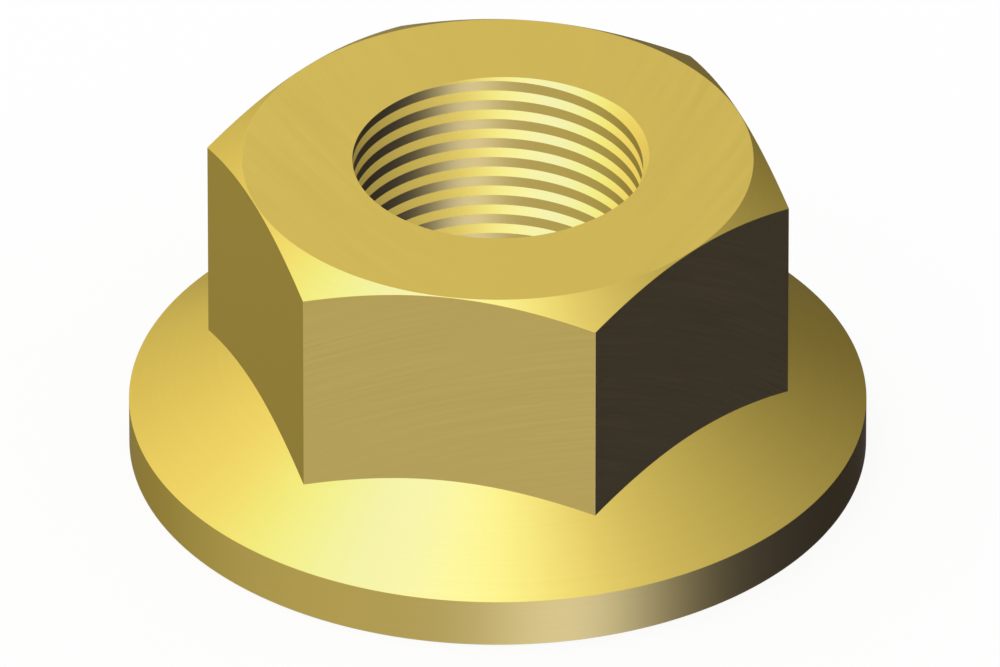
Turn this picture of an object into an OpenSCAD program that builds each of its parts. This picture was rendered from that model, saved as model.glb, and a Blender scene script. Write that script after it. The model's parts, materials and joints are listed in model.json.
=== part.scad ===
// Hexagon flange nut of the common 12 mm size, turned from one piece of brass.
// A plain bearing flange with a sloped upper face carries a chamfered hexagon,
// and a right-hand sixty degree thread runs through the bore from face to face.
// The origin is the centre of the bearing face and +Z runs up the bore.

/* [Hexagon] */
// Width across the flats
across_flats = 18; // [16.5:0.1:19.5]
// Height from the bearing face to the top face
nut_h = 11.8; // [10:0.1:14]
// Diameter of the round top face, where the chamfer starts
top_face_d = 17.95; // [15:0.05:17.95]
// Slope of the top chamfer, from the horizontal
chamfer_angle = 30; // [15:1:40]

/* [Flange] */
// Diameter of the bearing flange
flange_d = 26; // [23:0.5:32]
// Height of the flange's upright rim
rim_h = 1.8; // [1:0.1:3]
// Slope of the flange's upper face, from the horizontal
flange_angle = 30; // [15:1:40]

/* [Bore and thread] */
// Diameter of the bore over the thread's crests
bore_d = 10.2; // [9:0.1:11]
// Rise of the thread in one turn
pitch = 0.8; // [0.7:0.05:1.75]
// Width of the thread groove at the bore wall
groove_w = 0.4; // [0.3:0.02:0.5]
// Angle between the two flanks of the groove
thread_angle = 60; // [50:1:75]
// Turn about the bore at which the groove's root leaves the top face
thread_exit = 45; // [5:5:85]

/* [Hidden] */
// Colour of the brass
brass = [0.80, 0.70, 0.33];
// Roundness of the turned faces
$fn = 120;
// Flat steps that make up one turn of the groove
turn_steps = 48;
// How far a cutter runs past the face that it opens
overrun = 1;
// How far the groove's section reaches into the open bore
groove_lap = 0.15;

// Radius of the circle through the hexagon's six corners
corner_r = across_flats / 2 / cos(30);
// Radius at which the flange's slope is lost inside the hexagon
slope_end_r = (bore_d + across_flats) / 4;
// Rise of the flange's slope up to that radius
slope_h = (flange_d / 2 - slope_end_r) * tan(flange_angle);
// Radius of the round bar that the hexagon is turned down from
bar_r = corner_r + overrun;
// Drop of the chamfer cone from the top face out to that bar
chamfer_drop = (bar_r - top_face_d / 2) * tan(chamfer_angle);

// Height of the groove's section from its root for each unit of depth
flank_rise = tan(thread_angle / 2);
// Radius of the groove's root
root_r = bore_d / 2 + groove_w / 2 / flank_rise;
// Radius of the section's inner corners, inside the open bore
lap_r = bore_d / 2 - groove_lap;
// Half the height of the section there
lap_half_h = (root_r - lap_r) * flank_rise;
// Sections from one pitch under the bearing face to one pitch above the top
section_count = ceil(turn_steps * (nut_h / pitch + 2));

// The three corners of the groove's section, counted down from the top one.
// The half step keeps every corner off the top face itself.
function section_corners(n) =
    let (turn = 1 - (n + 0.5) / turn_steps,
         a = thread_exit + 360 * turn,
         z = nut_h + pitch * turn,
         across = [cos(a), sin(a)])
    [
        [lap_r * across.x, lap_r * across.y, z - lap_half_h],
        [root_r * across.x, root_r * across.y, z],
        [lap_r * across.x, lap_r * across.y, z + lap_half_h],
    ];

// The two triangles that join one side of a section to the next section
function side_faces(n, side) =
    let (here = 3 * n,
         below = 3 * (n + 1),
         next = (side + 1) % 3)
    [
        [here + side, below + next, here + next],
        [here + side, below + side, below + next],
    ];

// The hexagon bar, turned to a shallow cone at its top
module chamfered_hexagon() {
    intersection() {
        cylinder(r = corner_r, h = nut_h, $fn = 6);
        rotate_extrude()
            polygon([
                [0, 0],
                [bar_r, 0],
                [bar_r, nut_h - chamfer_drop],
                [top_face_d / 2, nut_h],
                [0, nut_h],
            ]);
    }
}

// The round bearing flange with its upright rim and sloped upper face
module bearing_flange() {
    rotate_extrude()
        polygon([
            [0, 0],
            [flange_d / 2, 0],
            [flange_d / 2, rim_h],
            [slope_end_r, rim_h + slope_h],
            [0, rim_h + slope_h],
        ]);
}

// The helical groove that a tap leaves, as one long bar with a pointed section
module thread_groove() {
    last = section_count - 1;
    polyhedron(
        points = [for (n = [0:last]) each section_corners(n)],
        faces = concat(
            [[0, 1, 2]],
            [for (n = [0:last - 1], side = [0:2]) each side_faces(n, side)],
            [[3 * last + 2, 3 * last + 1, 3 * last]]
        ),
        convexity = 20
    );
}

// The whole nut, one piece of brass
module flange_nut() {
    color(brass)
        difference() {
            union() {
                chamfered_hexagon();
                bearing_flange();
            }
            translate([0, 0, -overrun])
                cylinder(d = bore_d, h = nut_h + 2 * overrun);
            thread_groove();
        }
}

flange_nut();
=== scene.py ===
"""A brass hexagon flange nut on a pale studio table."""
import json
import math
import bpy
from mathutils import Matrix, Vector


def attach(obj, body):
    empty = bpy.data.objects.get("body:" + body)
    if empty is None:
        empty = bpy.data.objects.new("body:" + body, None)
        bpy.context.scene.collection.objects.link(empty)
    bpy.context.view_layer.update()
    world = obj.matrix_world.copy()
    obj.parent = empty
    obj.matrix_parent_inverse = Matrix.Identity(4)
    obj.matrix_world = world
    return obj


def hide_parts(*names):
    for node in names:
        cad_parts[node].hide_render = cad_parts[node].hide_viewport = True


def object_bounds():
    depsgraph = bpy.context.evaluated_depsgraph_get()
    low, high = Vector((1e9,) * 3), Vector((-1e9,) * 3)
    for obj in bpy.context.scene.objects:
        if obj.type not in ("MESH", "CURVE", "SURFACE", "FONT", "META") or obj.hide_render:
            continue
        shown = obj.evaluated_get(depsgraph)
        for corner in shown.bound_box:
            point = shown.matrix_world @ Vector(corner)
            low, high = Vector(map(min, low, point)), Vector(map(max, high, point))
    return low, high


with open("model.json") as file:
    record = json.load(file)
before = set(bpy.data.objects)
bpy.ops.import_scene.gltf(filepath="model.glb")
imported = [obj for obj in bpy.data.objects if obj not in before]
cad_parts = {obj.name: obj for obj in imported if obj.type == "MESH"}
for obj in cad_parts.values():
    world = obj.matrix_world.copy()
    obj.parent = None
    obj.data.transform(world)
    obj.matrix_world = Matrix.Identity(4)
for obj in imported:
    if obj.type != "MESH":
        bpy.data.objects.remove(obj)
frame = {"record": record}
cad_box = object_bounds()
mounts = {mount["name"]: mount for mount in frame["record"]["mounts"]}

MM = 0.001

# THE NUT'S FORM

# Radius of the flange, height of the nut, radius of the bore over the thread's crests and
# distance from the axis to a flat, as the frame gives them
FLANGE_R = min(cad_box[1].x, cad_box[1].y)
NUT_H = cad_box[1].z
BORE_R = mounts["thread"]["dims"]["r_mm"] * MM
FLAT_R = mounts["flat_back"]["pos_m"][1]
# Radius of the round top face, where the chamfer starts
TOP_FACE_R = 8.975 * MM
# Height of the flange's upright rim
RIM_H = 1.8 * MM
# Slope of the flange's upper face and of the chamfer
SLOPE = math.tan(math.radians(30))
# Rise of the thread in one turn, width of its groove and slope of each flank
PITCH = 0.8 * MM
GROOVE_W = 0.4 * MM
FLANK_SLOPE = math.tan(math.radians(30))
# Turn about the bore, in degrees, at which the groove's root leaves the top face
THREAD_EXIT = 45
# Width of the small break that tumbling leaves on the sharp edges
EDGE_BREAK = 0.01 * MM

# Degrees from one column of the mesh to the next
COLUMN_STEP = 0.5
# Half the width of the break on each upright edge of the hexagon, in degrees
CORNER_BREAK = 0.06

# WHERE THE TOOLS TURNED

# Radius of the large cutters that faced the ends and milled the flats
CUTTER_R = 38 * MM
# The facing cutter sweeps out over one half of the nut and back over the other, and lifts off
# between them. Direction to the middle of the first half, and for each half the direction to the
# cutter's centre, in degrees
FACING_HALF = 11
FACING_TURNS = (163, 45)
# How fast its marks come up to full depth away from the line between the halves
FACING_RISE = 1.5
# For each pair of opposite flats, the direction from a flat's middle to the cutter's centre, in
# degrees
CUTTER_TURNS = (270, 290, 235)
# How firmly the cutter pressed on each of the six flats, in order round the nut. The photo shows
# the last three.
CUTTER_PRESSES = (0.4, 0.4, 0.4, 0.2, 0.5, 1.0)
# Distance put between the patterns of two flats, so that none repeats
PATTERN_GAP = 10 * MM


def polar(radius, angle, z):
    """A point at a radius and an angle in degrees about the bore."""
    turn = math.radians(angle)
    return (radius * math.cos(turn), radius * math.sin(turn), z)


# THE NUT'S MESH


def off_corner(angle):
    """Degrees from the nearest upright edge of the hexagon, from -30 to 30."""
    return (angle + 30) % 60 - 30


def side_radius(angle):
    """Distance from the axis to the hexagon's side, with its upright edges broken."""
    off = max(abs(off_corner(angle)), CORNER_BREAK)
    return FLAT_R / math.cos(math.radians(30 - off))


def side_normal(angle):
    """The side's outward normal, which turns from flat to flat across a broken edge."""
    off = off_corner(angle)
    lean = max(-1, min(1, off / CORNER_BREAK))
    return polar(1, angle - off + 30 * lean, 0)


def root_height(angle):
    """Height of the groove's root at an angle, on the turn that leaves the top face."""
    return NUT_H + PITCH * (angle - THREAD_EXIT) / 360


def bore_radius(angle, z):
    """Radius of the bore's wall, on the crest or down in the groove."""
    off_root = (z - root_height(angle) + PITCH / 2) % PITCH - PITCH / 2
    return BORE_R + max(0, GROOVE_W / 2 - abs(off_root)) / FLANK_SLOPE


def columns():
    """Angles of the mesh's columns, in order round the nut."""
    steps = round(360 / COLUMN_STEP)
    angles = {step * COLUMN_STEP for step in range(steps)}
    for corner in range(0, 360, 60):
        angles |= {(corner - CORNER_BREAK) % 360, corner + CORNER_BREAK}
    return sorted(angles)


def outer_profile(angle):
    """The outside of a column as radius and height, from the bore's foot out, up and in."""
    side = side_radius(angle)
    slope_top = RIM_H + (FLANGE_R - side) * SLOPE
    chamfer_foot = NUT_H - (side - TOP_FACE_R) * SLOPE
    # Near the middle of a flat the chamfer is narrow, and each break takes a third of it at most
    narrow = min(EDGE_BREAK, (side - TOP_FACE_R) / 3)
    slant = math.cos(math.atan(SLOPE))
    return [
        (bore_radius(angle, 0), 0),
        (FLANGE_R - EDGE_BREAK, 0),
        (FLANGE_R, EDGE_BREAK),
        (FLANGE_R, RIM_H - EDGE_BREAK),
        (FLANGE_R - EDGE_BREAK * slant, RIM_H + EDGE_BREAK * slant * SLOPE),
        (side, slope_top),
        (side, chamfer_foot - narrow),
        (side - narrow * slant, chamfer_foot + narrow * slant * SLOPE),
        (TOP_FACE_R + narrow * slant, NUT_H - narrow * slant * SLOPE),
        (TOP_FACE_R - narrow, NUT_H),
        (bore_radius(angle, NUT_H), NUT_H),
    ]


def outer_strips(angle):
    """Each strip of the outside, in the profile's order: its finish and its normals at both edges."""
    down = (0, 0, -1)
    up = (0, 0, 1)
    out = polar(1, angle, 0)
    side = side_normal(angle)
    slope = Vector(polar(SLOPE, angle, 1)).normalized()
    return [
        ("faced", down, down),
        ("turned", down, out),
        ("turned", out, out),
        ("turned", out, slope),
        ("turned", slope, slope),
        ("milled", side, side),
        ("turned", side, slope),
        ("turned", slope, slope),
        ("faced", slope, up),
        ("faced", up, up),
    ]


def thread_edges(angle):
    """The thread's edges in a column, from the top down, as number, radius and height."""
    root_r = BORE_R + GROOVE_W / 2 / FLANK_SLOPE
    edges = []
    for turn in range(-1, math.ceil(NUT_H / PITCH) + 2):
        root = root_height(angle) - turn * PITCH
        edges += [
            (3 * turn, BORE_R, root + GROOVE_W / 2),
            (3 * turn + 1, root_r, root),
            (3 * turn + 2, BORE_R, root - GROOVE_W / 2),
        ]
    # An edge that lies right in an end face is left to that face
    clear = 1e-6 * MM
    return [edge for edge in edges if clear < edge[2] < NUT_H - clear]


def thread_normal(strip, angle, radius):
    """Normal of the crest, the upper flank or the lower flank, told by the edge below it."""
    out = Vector(polar(1, angle, 0))
    along = Vector(polar(1, angle + 90, 0))
    up = Vector((0, 0, 1))
    lead = PITCH / math.tau
    if strip % 3 == 0:
        return -out
    upright = radius * up - lead * along
    if strip % 3 == 1:
        upright = -upright
    return (upright - FLANK_SLOPE * radius * out).normalized()


def off_facing_half(place):
    """1 in the middle of the facing cutter's first half, -1 in the second and 0 between them."""
    return math.cos(math.atan2(place[1], place[0]) - math.radians(FACING_HALF))


def flat_number(facing):
    """Which of the six flats faces an angle, counted round the nut from 0."""
    return facing // 60


def cut_press(finish, place, facing):
    """How firmly the tool pressed at a place, from 0 to 1."""
    if finish == "faced":
        return min(1, FACING_RISE * abs(off_facing_half(place)))
    if finish == "milled":
        return CUTTER_PRESSES[flat_number(facing)]
    return 1


def cut_place(finish, place, facing):
    """A place on the nut, measured from the centre of the tool that cut it."""
    x, y, z = place
    if finish == "faced":
        centre = polar(CUTTER_R, FACING_TURNS[off_facing_half(place) < 0], 0)
        return (x - centre[0], y - centre[1], z)
    if finish == "milled":
        across = Vector(place).dot(Vector(polar(1, facing + 90, 0)))
        number = flat_number(facing)
        centre = polar(CUTTER_R, CUTTER_TURNS[number % 3], 0)
        return (across - centre[0], z - NUT_H / 2 - centre[1], number * PATTERN_GAP)
    return (x, y, z)


class NutMesh:
    """Collects the nut's points and faces, and for each face its finish, normals and cuts."""

    def __init__(self, finishes):
        self.finishes = finishes
        self.points = []
        self.faces = []
        self.face_finishes = []
        self.normals = []
        self.cut_places = []
        self.cut_presses = []

    def point(self, place):
        self.points.append(place)
        return len(self.points) - 1

    def face(self, corners, normals, finish, facing=0):
        self.faces.append(corners)
        self.face_finishes.append(self.finishes.index(finish))
        self.normals += [tuple(normal) for normal in normals]
        self.cut_places += [cut_place(finish, self.points[corner], facing) for corner in corners]
        self.cut_presses += [cut_press(finish, self.points[corner], facing) for corner in corners]


def join_outside(mesh, here, there):
    """Adds the outer strips between two columns."""
    facing = 60 * int(here["angle"] // 60) + 30
    strips = zip(outer_strips(here["angle"]), outer_strips(there["angle"]))
    for n, ((finish, low, high), (_, next_low, next_high)) in enumerate(strips):
        corners = [here["ring"][n], there["ring"][n], there["ring"][n + 1], here["ring"][n + 1]]
        mesh.face(corners, [low, next_low, next_high, high], finish, facing)


def join_bore(mesh, here, there, raise_by):
    """Adds the bore's strips between two columns, from the top down.

    An edge of the thread that runs out into an end face is in one column alone, and its strips
    end there in triangles. raise_by is what an edge's number gains on the way to the next column.
    """
    bottom = math.inf
    ends = [*here["edges"], (bottom, here["ring"][0])]
    next_ends = [(number + raise_by, point) for number, point in there["edges"]]
    next_ends.append((bottom, there["ring"][0]))
    corner, next_corner = here["ring"][-1], there["ring"][-1]
    strip = 0
    while ends:
        number = min(ends[0][0], next_ends[0][0])
        strip = strip + 1 if number == bottom else number
        corners = [corner, next_corner]
        angles = [here["angle"], there["angle"]]
        if next_ends[0][0] == number:
            next_corner = next_ends.pop(0)[1]
            corners.append(next_corner)
            angles.append(there["angle"])
        if ends[0][0] == number:
            corner = ends.pop(0)[1]
            corners.append(corner)
            angles.append(here["angle"])
        radii = [math.hypot(*mesh.points[point][:2]) for point in corners]
        normals = [thread_normal(strip, angle, radius) for angle, radius in zip(angles, radii)]
        mesh.face(corners, normals, "tapped")


def nut_mesh(finishes):
    """The whole nut as one closed mesh, a column at a time round the bore."""
    mesh = NutMesh(finishes)
    round_nut = []
    for angle in columns():
        ring = [mesh.point(polar(radius, angle, z)) for radius, z in outer_profile(angle)]
        edges = [
            (number, mesh.point(polar(radius, angle, z)))
            for number, radius, z in thread_edges(angle)
        ]
        round_nut.append({"angle": angle, "ring": ring, "edges": edges})
    for here, there in zip(round_nut, round_nut[1:] + round_nut[:1]):
        # Past the last column, each edge of the thread meets the one a turn further down
        raise_by = 3 if there is round_nut[0] else 0
        join_outside(mesh, here, there)
        join_bore(mesh, here, there, raise_by)
    return mesh


def build_nut(materials):
    """The nut's object, with one material for each finish."""
    mesh = nut_mesh(list(materials))
    data = bpy.data.meshes.new("flange_nut_brass")
    data.from_pydata(mesh.points, [], mesh.faces)
    for material in materials.values():
        data.materials.append(material)
    data.polygons.foreach_set("material_index", mesh.face_finishes)
    data.polygons.foreach_set("use_smooth", [True] * len(mesh.faces))
    places = data.attributes.new("cut_place", "FLOAT_VECTOR", "CORNER")
    places.data.foreach_set("vector", [number for place in mesh.cut_places for number in place])
    presses = data.attributes.new("cut_press", "FLOAT", "CORNER")
    presses.data.foreach_set("value", mesh.cut_presses)
    data.normals_split_custom_set(mesh.normals)
    data.validate()
    data.update()
    nut = bpy.data.objects.new("flange_nut_brass", data)
    bpy.context.scene.collection.objects.link(nut)
    return nut


# MATERIALS


def linear(hex_colour):
    """An sRGB hex colour as linear red, green, blue and alpha."""
    parts = [int(hex_colour[i:i + 2], 16) / 255 for i in (1, 3, 5)]
    return [c / 12.92 if c <= 0.04045 else ((c + 0.055) / 1.055) ** 2.4 for c in parts] + [1]


def add_node(tree, kind, settings=None, **inputs):
    """Adds a node, sets its properties and its input sockets, and links what feeds them.

    A socket goes by its name, with _ for each space, or by its number, as in i0.
    """
    new = tree.nodes.new(kind)
    for name, value in (settings or {}).items():
        setattr(new, name, value)
    for name, value in inputs.items():
        place = int(name[1:]) if name[1:].isdigit() else name.replace("_", " ")
        if isinstance(value, bpy.types.NodeSocket):
            tree.links.new(value, new.inputs[place])
        else:
            new.inputs[place].default_value = value
    return new


def new_material(name):
    """An empty node material and its tree."""
    material = bpy.data.materials.new(name)
    material.use_nodes = True
    material.node_tree.nodes.clear()
    return material, material.node_tree


# Free-cutting brass, which has some lead in it: a pale greenish gold. Seen aslant it turns paler
# but stays yellow.
BRASS_ASLANT = "#EFE6BE"
# Its colour in the valley and on the crest of the deepest mark: painted shade in the valley and a
# painted highlight on the crest, standing in for the marks' own shading
BRASS_PAINTED_SHADE = "#C8B053"
BRASS_PAINTED_LIGHT = "#D2BA59"
# Roughness of the satin that a sharp tool leaves, and how far the deepest marks change it. It
# stays over 0.275, because the denoiser takes a smoother metal for a mirror and blots the marks.
SATIN = 0.287
SATIN_CHANGE = 0.01
# Size of the patches over which the tool presses unevenly, and the least share of their full
# strength that the marks keep there
PATCH = 5 * MM
LEAST_SHARE = 0.45


def tool_marks(tree, spacing, marks_round, strength):
    """A pattern round 0.5 of the fine arcs that a tool leaves round its centre.

    spacing is the distance from mark to mark. marks_round says how often a mark fades and comes
    back on its way round, for each radian. A strength of 1 takes the pattern from 0 to 1.
    """
    place = add_node(tree, "ShaderNodeAttribute", {"attribute_name": "cut_place"})
    parts = add_node(tree, "ShaderNodeSeparateXYZ", Vector=place.outputs["Vector"])
    level = add_node(tree, "ShaderNodeCombineXYZ", X=parts.outputs["X"], Y=parts.outputs["Y"])
    reach = add_node(
        tree, "ShaderNodeVectorMath", {"operation": "LENGTH"}, i0=level.outputs[0]
    )
    way = add_node(
        tree, "ShaderNodeVectorMath", {"operation": "NORMALIZE"}, i0=level.outputs[0]
    )
    turned = add_node(
        tree, "ShaderNodeVectorMath", {"operation": "SCALE"}, i0=way.outputs[0], Scale=marks_round
    )
    rows = add_node(
        tree, "ShaderNodeMath", {"operation": "DIVIDE"}, i0=reach.outputs["Value"], i1=spacing
    )
    stacked = add_node(tree, "ShaderNodeCombineXYZ", Z=rows.outputs[0])
    spot = add_node(
        tree, "ShaderNodeVectorMath", {"operation": "ADD"}, i0=turned.outputs[0], i1=stacked.outputs[0]
    )
    height = add_node(
        tree, "ShaderNodeMath", {"operation": "DIVIDE"}, i0=parts.outputs["Z"], i1=spacing
    )
    noise = add_node(
        tree, "ShaderNodeTexNoise", {"noise_dimensions": "4D"},
        Vector=spot.outputs[0], W=height.outputs[0], Scale=1.0, Detail=2.0, Roughness=0.6,
    )
    # Noise seldom leaves its middle, so that part is spread over the whole range
    marks = add_node(
        tree, "ShaderNodeMapRange", Value=noise.outputs["Fac"], From_Min=0.3, From_Max=0.7
    )
    patches = add_node(
        tree, "ShaderNodeTexNoise",
        Vector=place.outputs["Vector"], Scale=1 / PATCH, Detail=0.0,
    )
    evenness = add_node(
        tree, "ShaderNodeMapRange", {"interpolation_type": "SMOOTHSTEP"},
        Value=patches.outputs["Fac"], From_Min=0.35, From_Max=0.65,
        To_Min=LEAST_SHARE * strength, To_Max=strength,
    )
    press = add_node(tree, "ShaderNodeAttribute", {"attribute_name": "cut_press"})
    pressure = add_node(
        tree, "ShaderNodeMath", {"operation": "MULTIPLY"},
        i0=evenness.outputs[0], i1=press.outputs["Fac"],
    )
    pressed = add_node(
        tree, "ShaderNodeMix", {"data_type": "FLOAT"},
        i0=pressure.outputs[0], i2=0.5, i3=marks.outputs[0],
    )
    return pressed.outputs[0]


def cut_brass(name, spacing, marks_round, strength, depth):
    """Brass as a cutting tool leaves it: a satin metal with marks of a spacing and a depth, whose
    valleys carry painted shade and whose crests carry a painted highlight.
    """
    material, tree = new_material(name)
    marks = tool_marks(tree, spacing, marks_round, strength)
    relief = add_node(tree, "ShaderNodeBump", Strength=1.0, Distance=depth, Height=marks)
    # Painted shade and painted highlight: the colour darkens in the marks' valleys and lightens on
    # their crests
    painted_mark_shading = add_node(
        tree, "ShaderNodeMix", {"data_type": "RGBA"},
        i0=marks, i6=linear(BRASS_PAINTED_SHADE), i7=linear(BRASS_PAINTED_LIGHT),
    )
    satin = add_node(
        tree, "ShaderNodeMapRange",
        Value=marks, To_Min=SATIN - SATIN_CHANGE, To_Max=SATIN + SATIN_CHANGE,
    )
    shader = add_node(
        tree, "ShaderNodeBsdfPrincipled",
        Base_Color=painted_mark_shading.outputs["Result"], Metallic=1.0, Roughness=satin.outputs[0],
        Specular_Tint=linear(BRASS_ASLANT), Normal=relief.outputs[0],
    )
    add_node(tree, "ShaderNodeOutputMaterial", Surface=shader.outputs[0])
    return material


# Distance between the marks of a fine cut, which is the tool's feed
FEED = 0.12 * MM
# The end faces' real marks are as fine, but fainter, so they are drawn as coarse as they need to
# show
FACING_FEED = 0.45 * MM


def brass_finishes():
    """The nut's brass, once for each way in which its surfaces were cut."""
    return {
        # The two end faces: long, broad and nearly straight sweeps, that cross from side to side
        "faced": cut_brass("faced_brass", FACING_FEED, 8, 0.7, 0.005 * MM),
        # The flange and the chamfer: even rings round the bore, too shallow to break the sheen
        "turned": cut_brass("turned_brass", FEED, 1.4, 0.25, 0.001 * MM),
        # The flats: sweeps of a large cutter, at another slant on each flat
        "milled": cut_brass("milled_brass", FEED, 9, 1.0, 0.01 * MM),
        # The thread: a tap burnishes as it cuts, so only its faintest drag lines show, and they
        # are drawn coarser than the real ones, which are finer than a pixel
        "tapped": cut_brass("tapped_brass", FEED, 3, 0.2, 0.001 * MM),
    }


# THE STUDIO


def seen_directly(tree):
    """One for rays from the camera, in a mirror or through glass, and nought for the rest."""
    path = add_node(tree, "ShaderNodeLightPath")
    mirrored = add_node(
        tree, "ShaderNodeMath", {"operation": "MAXIMUM"},
        i0=path.outputs["Is Camera Ray"], i1=path.outputs["Is Glossy Ray"],
    )
    return add_node(
        tree, "ShaderNodeMath", {"operation": "MAXIMUM"},
        i0=mirrored.outputs[0], i1=path.outputs["Is Transmission Ray"],
    ).outputs[0]


def stage_object(name, points, faces, material):
    """A thing of the studio, which isn't part of the nut."""
    data = bpy.data.meshes.new(name)
    data.from_pydata(points, [], faces)
    data.materials.append(material)
    thing = bpy.data.objects.new(name, data)
    bpy.context.scene.collection.objects.link(thing)
    return thing


# Light that reaches the table from all round, where 1 shows a colour as it is written
ROOM_LIGHT = 0.93
# How much of the table is plain white where it is seen. The rest is paint, which keeps the shadow.
PLAIN_WHITE = 0.88


def table():
    """A matt white table that fades into a white background and keeps the nut's soft shadow."""
    material, tree = new_material("matt_white_table")
    paint = add_node(tree, "ShaderNodeBsdfDiffuse", Color=linear("#F4F4F4"))
    glow = add_node(tree, "ShaderNodeEmission", Color=(1, 1, 1, 1), Strength=1.0)
    share = add_node(
        tree, "ShaderNodeMath", {"operation": "MULTIPLY"}, i0=seen_directly(tree), i1=PLAIN_WHITE
    )
    mixed = add_node(
        tree, "ShaderNodeMixShader", i0=share.outputs[0], i1=paint.outputs[0], i2=glow.outputs[0]
    )
    add_node(tree, "ShaderNodeOutputMaterial", Surface=mixed.outputs[0])
    # Half the table's width, and a hair's breadth that keeps it off the bearing face
    half = 3.0
    below = -0.02 * MM
    points = [(-half, -half, below), (half, -half, below), (half, half, below), (-half, half, below)]
    top = stage_object("table", points, [(0, 1, 2, 3)], material)
    top.visible_glossy = False


def surround():
    """A plain pale room, white where it is seen."""
    world = bpy.data.worlds.new("studio")
    bpy.context.scene.world = world
    world.use_nodes = True
    tree = world.node_tree
    tree.nodes.clear()
    strength = add_node(
        tree, "ShaderNodeMix", {"data_type": "FLOAT"}, i0=seen_directly(tree), i2=ROOM_LIGHT, i3=1.0
    )
    back = add_node(tree, "ShaderNodeBackground", Color=(1, 1, 1, 1), Strength=strength.outputs[0])
    add_node(tree, "ShaderNodeOutputWorld", Surface=back.outputs[0])


# The camera's place round the nut and above it, in degrees
CAMERA_AZIMUTH = 10.85
CAMERA_ELEVATION = 33.52


def from_camera(azimuth, elevation):
    """A direction, with azimuth counted from the camera's right and elevation from level."""
    lift = math.radians(elevation)
    return Vector(polar(math.cos(lift), azimuth + CAMERA_AZIMUTH, math.sin(lift)))


# The tent's cloth: its light in the middle, how much that grows to the left, towards the camera
# and upwards, and the shade in which it levels off
CLOTH_MIDDLE = 0.538
CLOTH_LEFT = 0.37
CLOTH_NEAR = 0.359
CLOTH_UP = 0.564
CLOTH_SHADE = 0.03

# Soft panels on the tent: azimuth, elevation, spread in degrees, firmness of the edge, and the
# red, green and blue light that each adds
PANELS = [
    # Overhead on the left: turns the flange's near left from gold to lemon
    (188, 69.5, 28, 6, (0.00, 0.56, 0.40)),
    # Above the camera: the bright glow on the flange's near side, with its firm right edge
    (275.5, 52, 32.5, 8, (1.00, 0.96, 1.00)),
    # Small and overhead: pales the middle of that glow
    (162, 75.5, 13.5, 2, (0.08, 0.00, 5.20)),
    # Low, under the camera: the silvery glint on the rim
    (293, -48.5, 18.5, 2, (1.49, 1.71, 5.00)),
    # Wide, low and near: keeps the dark flat from turning black
    (289, -39, 90, 2, (0.055, 0.058, 0.30)),
    # Behind on the left, a little low: warms the left flat and the rim's left end
    (119.5, -15, 14.5, 2, (0.61, 0.57, 0.00)),
    # Broad and behind: lights the top face and the flange's left
    (130, 31.5, 51, 2, (0.53, 0.49, 0.40)),
    # Behind, nearly level: cools the far left of the flange and of the chamfer
    (97.5, 14.5, 16.5, 2, (0.48, 0.55, 1.13)),
]

# Radius of the tent, and into how many rings and sectors its cloth is divided
TENT_R = 0.6
TENT_RINGS = 60
TENT_SECTORS = 120


def tent_light(way):
    """Light that the tent sends from one direction."""
    left, near = from_camera(180, 0), from_camera(270, 0)
    cloth = CLOTH_MIDDLE + CLOTH_LEFT * way.dot(left) + CLOTH_NEAR * way.dot(near) + CLOTH_UP * way.z
    # Where that sum would fall below nought, the cloth levels off in deep shade
    cloth = (cloth + math.hypot(cloth, 2 * CLOTH_SHADE)) / 2
    light = Vector((cloth, cloth, cloth))
    for azimuth, elevation, spread, firmness, colour in PANELS:
        off = math.degrees(way.angle(from_camera(azimuth, elevation)))
        light += Vector(colour) * math.exp(-((off / spread) ** firmness))
    return light


def from_below(rise, turn):
    """A direction, with rise counted in degrees from straight down and turn about the bore."""
    return Vector(polar(math.sin(math.radians(rise)), turn, -math.cos(math.radians(rise))))


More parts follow.
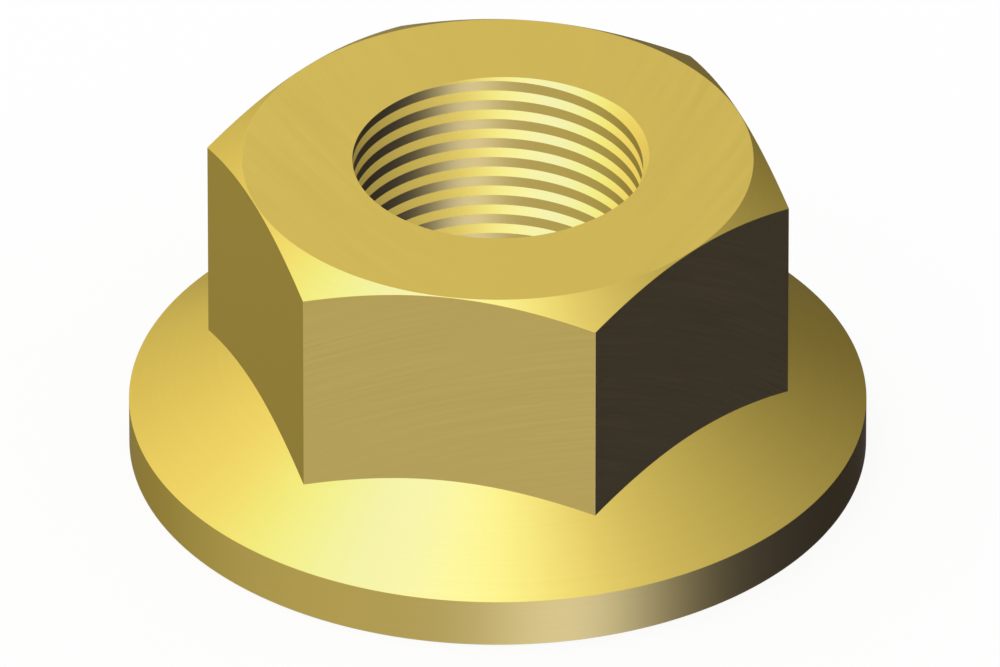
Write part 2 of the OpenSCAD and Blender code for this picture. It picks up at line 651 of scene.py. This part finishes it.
def tent():
    """A light tent of graded cloth all round the nut, which only its bright metal mirrors."""
    material, tree = new_material("light_tent_cloth")
    # The cloth is found by mirror rays alone, and no lamp samples are spent on it
    material.cycles.emission_sampling = "NONE"
    cloth = add_node(tree, "ShaderNodeAttribute", {"attribute_name": "light"})
    glow = add_node(tree, "ShaderNodeEmission", Color=cloth.outputs["Color"], Strength=1.0)
    add_node(tree, "ShaderNodeOutputMaterial", Surface=glow.outputs[0])
    ways = [
        from_below(180 * ring / TENT_RINGS, 360 * sector / TENT_SECTORS)
        for ring in range(TENT_RINGS + 1)
        for sector in range(TENT_SECTORS)
    ]
    faces = []
    for ring in range(TENT_RINGS):
        for sector in range(TENT_SECTORS):
            here = ring * TENT_SECTORS + sector
            after = ring * TENT_SECTORS + (sector + 1) % TENT_SECTORS
            faces.append((here, after, after + TENT_SECTORS, here + TENT_SECTORS))
    thing = stage_object("light_tent", [way * TENT_R for way in ways], faces, material)
    thing.location = (0, 0, NUT_H / 2)
    light = thing.data.attributes.new("light", "FLOAT_COLOR", "POINT")
    light.data.foreach_set("color", [part for way in ways for part in (*tent_light(way), 1)])
    thing.visible_camera = False
    thing.visible_diffuse = False
    thing.visible_shadow = False
    thing.visible_transmission = False
    thing.visible_volume_scatter = False


def aim(thing, target):
    """Turns a lamp or a camera to face a target."""
    thing.rotation_mode = "QUATERNION"
    thing.rotation_quaternion = (Vector(target) - thing.location).to_track_quat("-Z", "Y")


def softbox():
    """A round overhead softbox, for the nut's faint shadow on the table."""
    distance = 0.5
    radiance = 1.6
    data = bpy.data.lights.new("overhead_softbox", "AREA")
    data.shape = "DISK"
    data.size = 0.3
    data.energy = radiance * math.pi * math.pi * (data.size / 2) ** 2
    lamp = bpy.data.objects.new("overhead_softbox", data)
    lamp.location = from_camera(150, 70) * distance
    bpy.context.scene.collection.objects.link(lamp)
    aim(lamp, (0, 0, NUT_H / 2))
    lamp.visible_camera = False
    lamp.visible_glossy = False


def camera():
    """A very long lens from far off, because the nut's upright and level edges stay parallel."""
    data = bpy.data.cameras.new("camera")
    data.lens = 1150
    data.sensor_width = 36
    data.clip_start = 0.1
    data.clip_end = 10
    # Width of the view at the nut, and how far the view's middle lies from the nut's own
    view_w = 35.17 * MM
    middle_right = 0.08 * MM
    middle_up = -1.217 * MM
    back = from_camera(270, CAMERA_ELEVATION)
    right = from_camera(0, 0)
    up = back.cross(right)
    target = Vector((0, 0, NUT_H / 2)) + right * middle_right + up * middle_up
    thing = bpy.data.objects.new("camera", data)
    thing.location = target + back * view_w * data.lens / data.sensor_width
    bpy.context.scene.collection.objects.link(thing)
    aim(thing, target)
    bpy.context.scene.camera = thing


nut = build_nut(brass_finishes())
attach(nut, "root")
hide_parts("flange_nut")
# The nut mirrors the tent alone, not its own far walls
nut.visible_glossy = False

table()
surround()
tent()
softbox()
camera()
bpy.context.scene.view_settings.view_transform = "Standard"
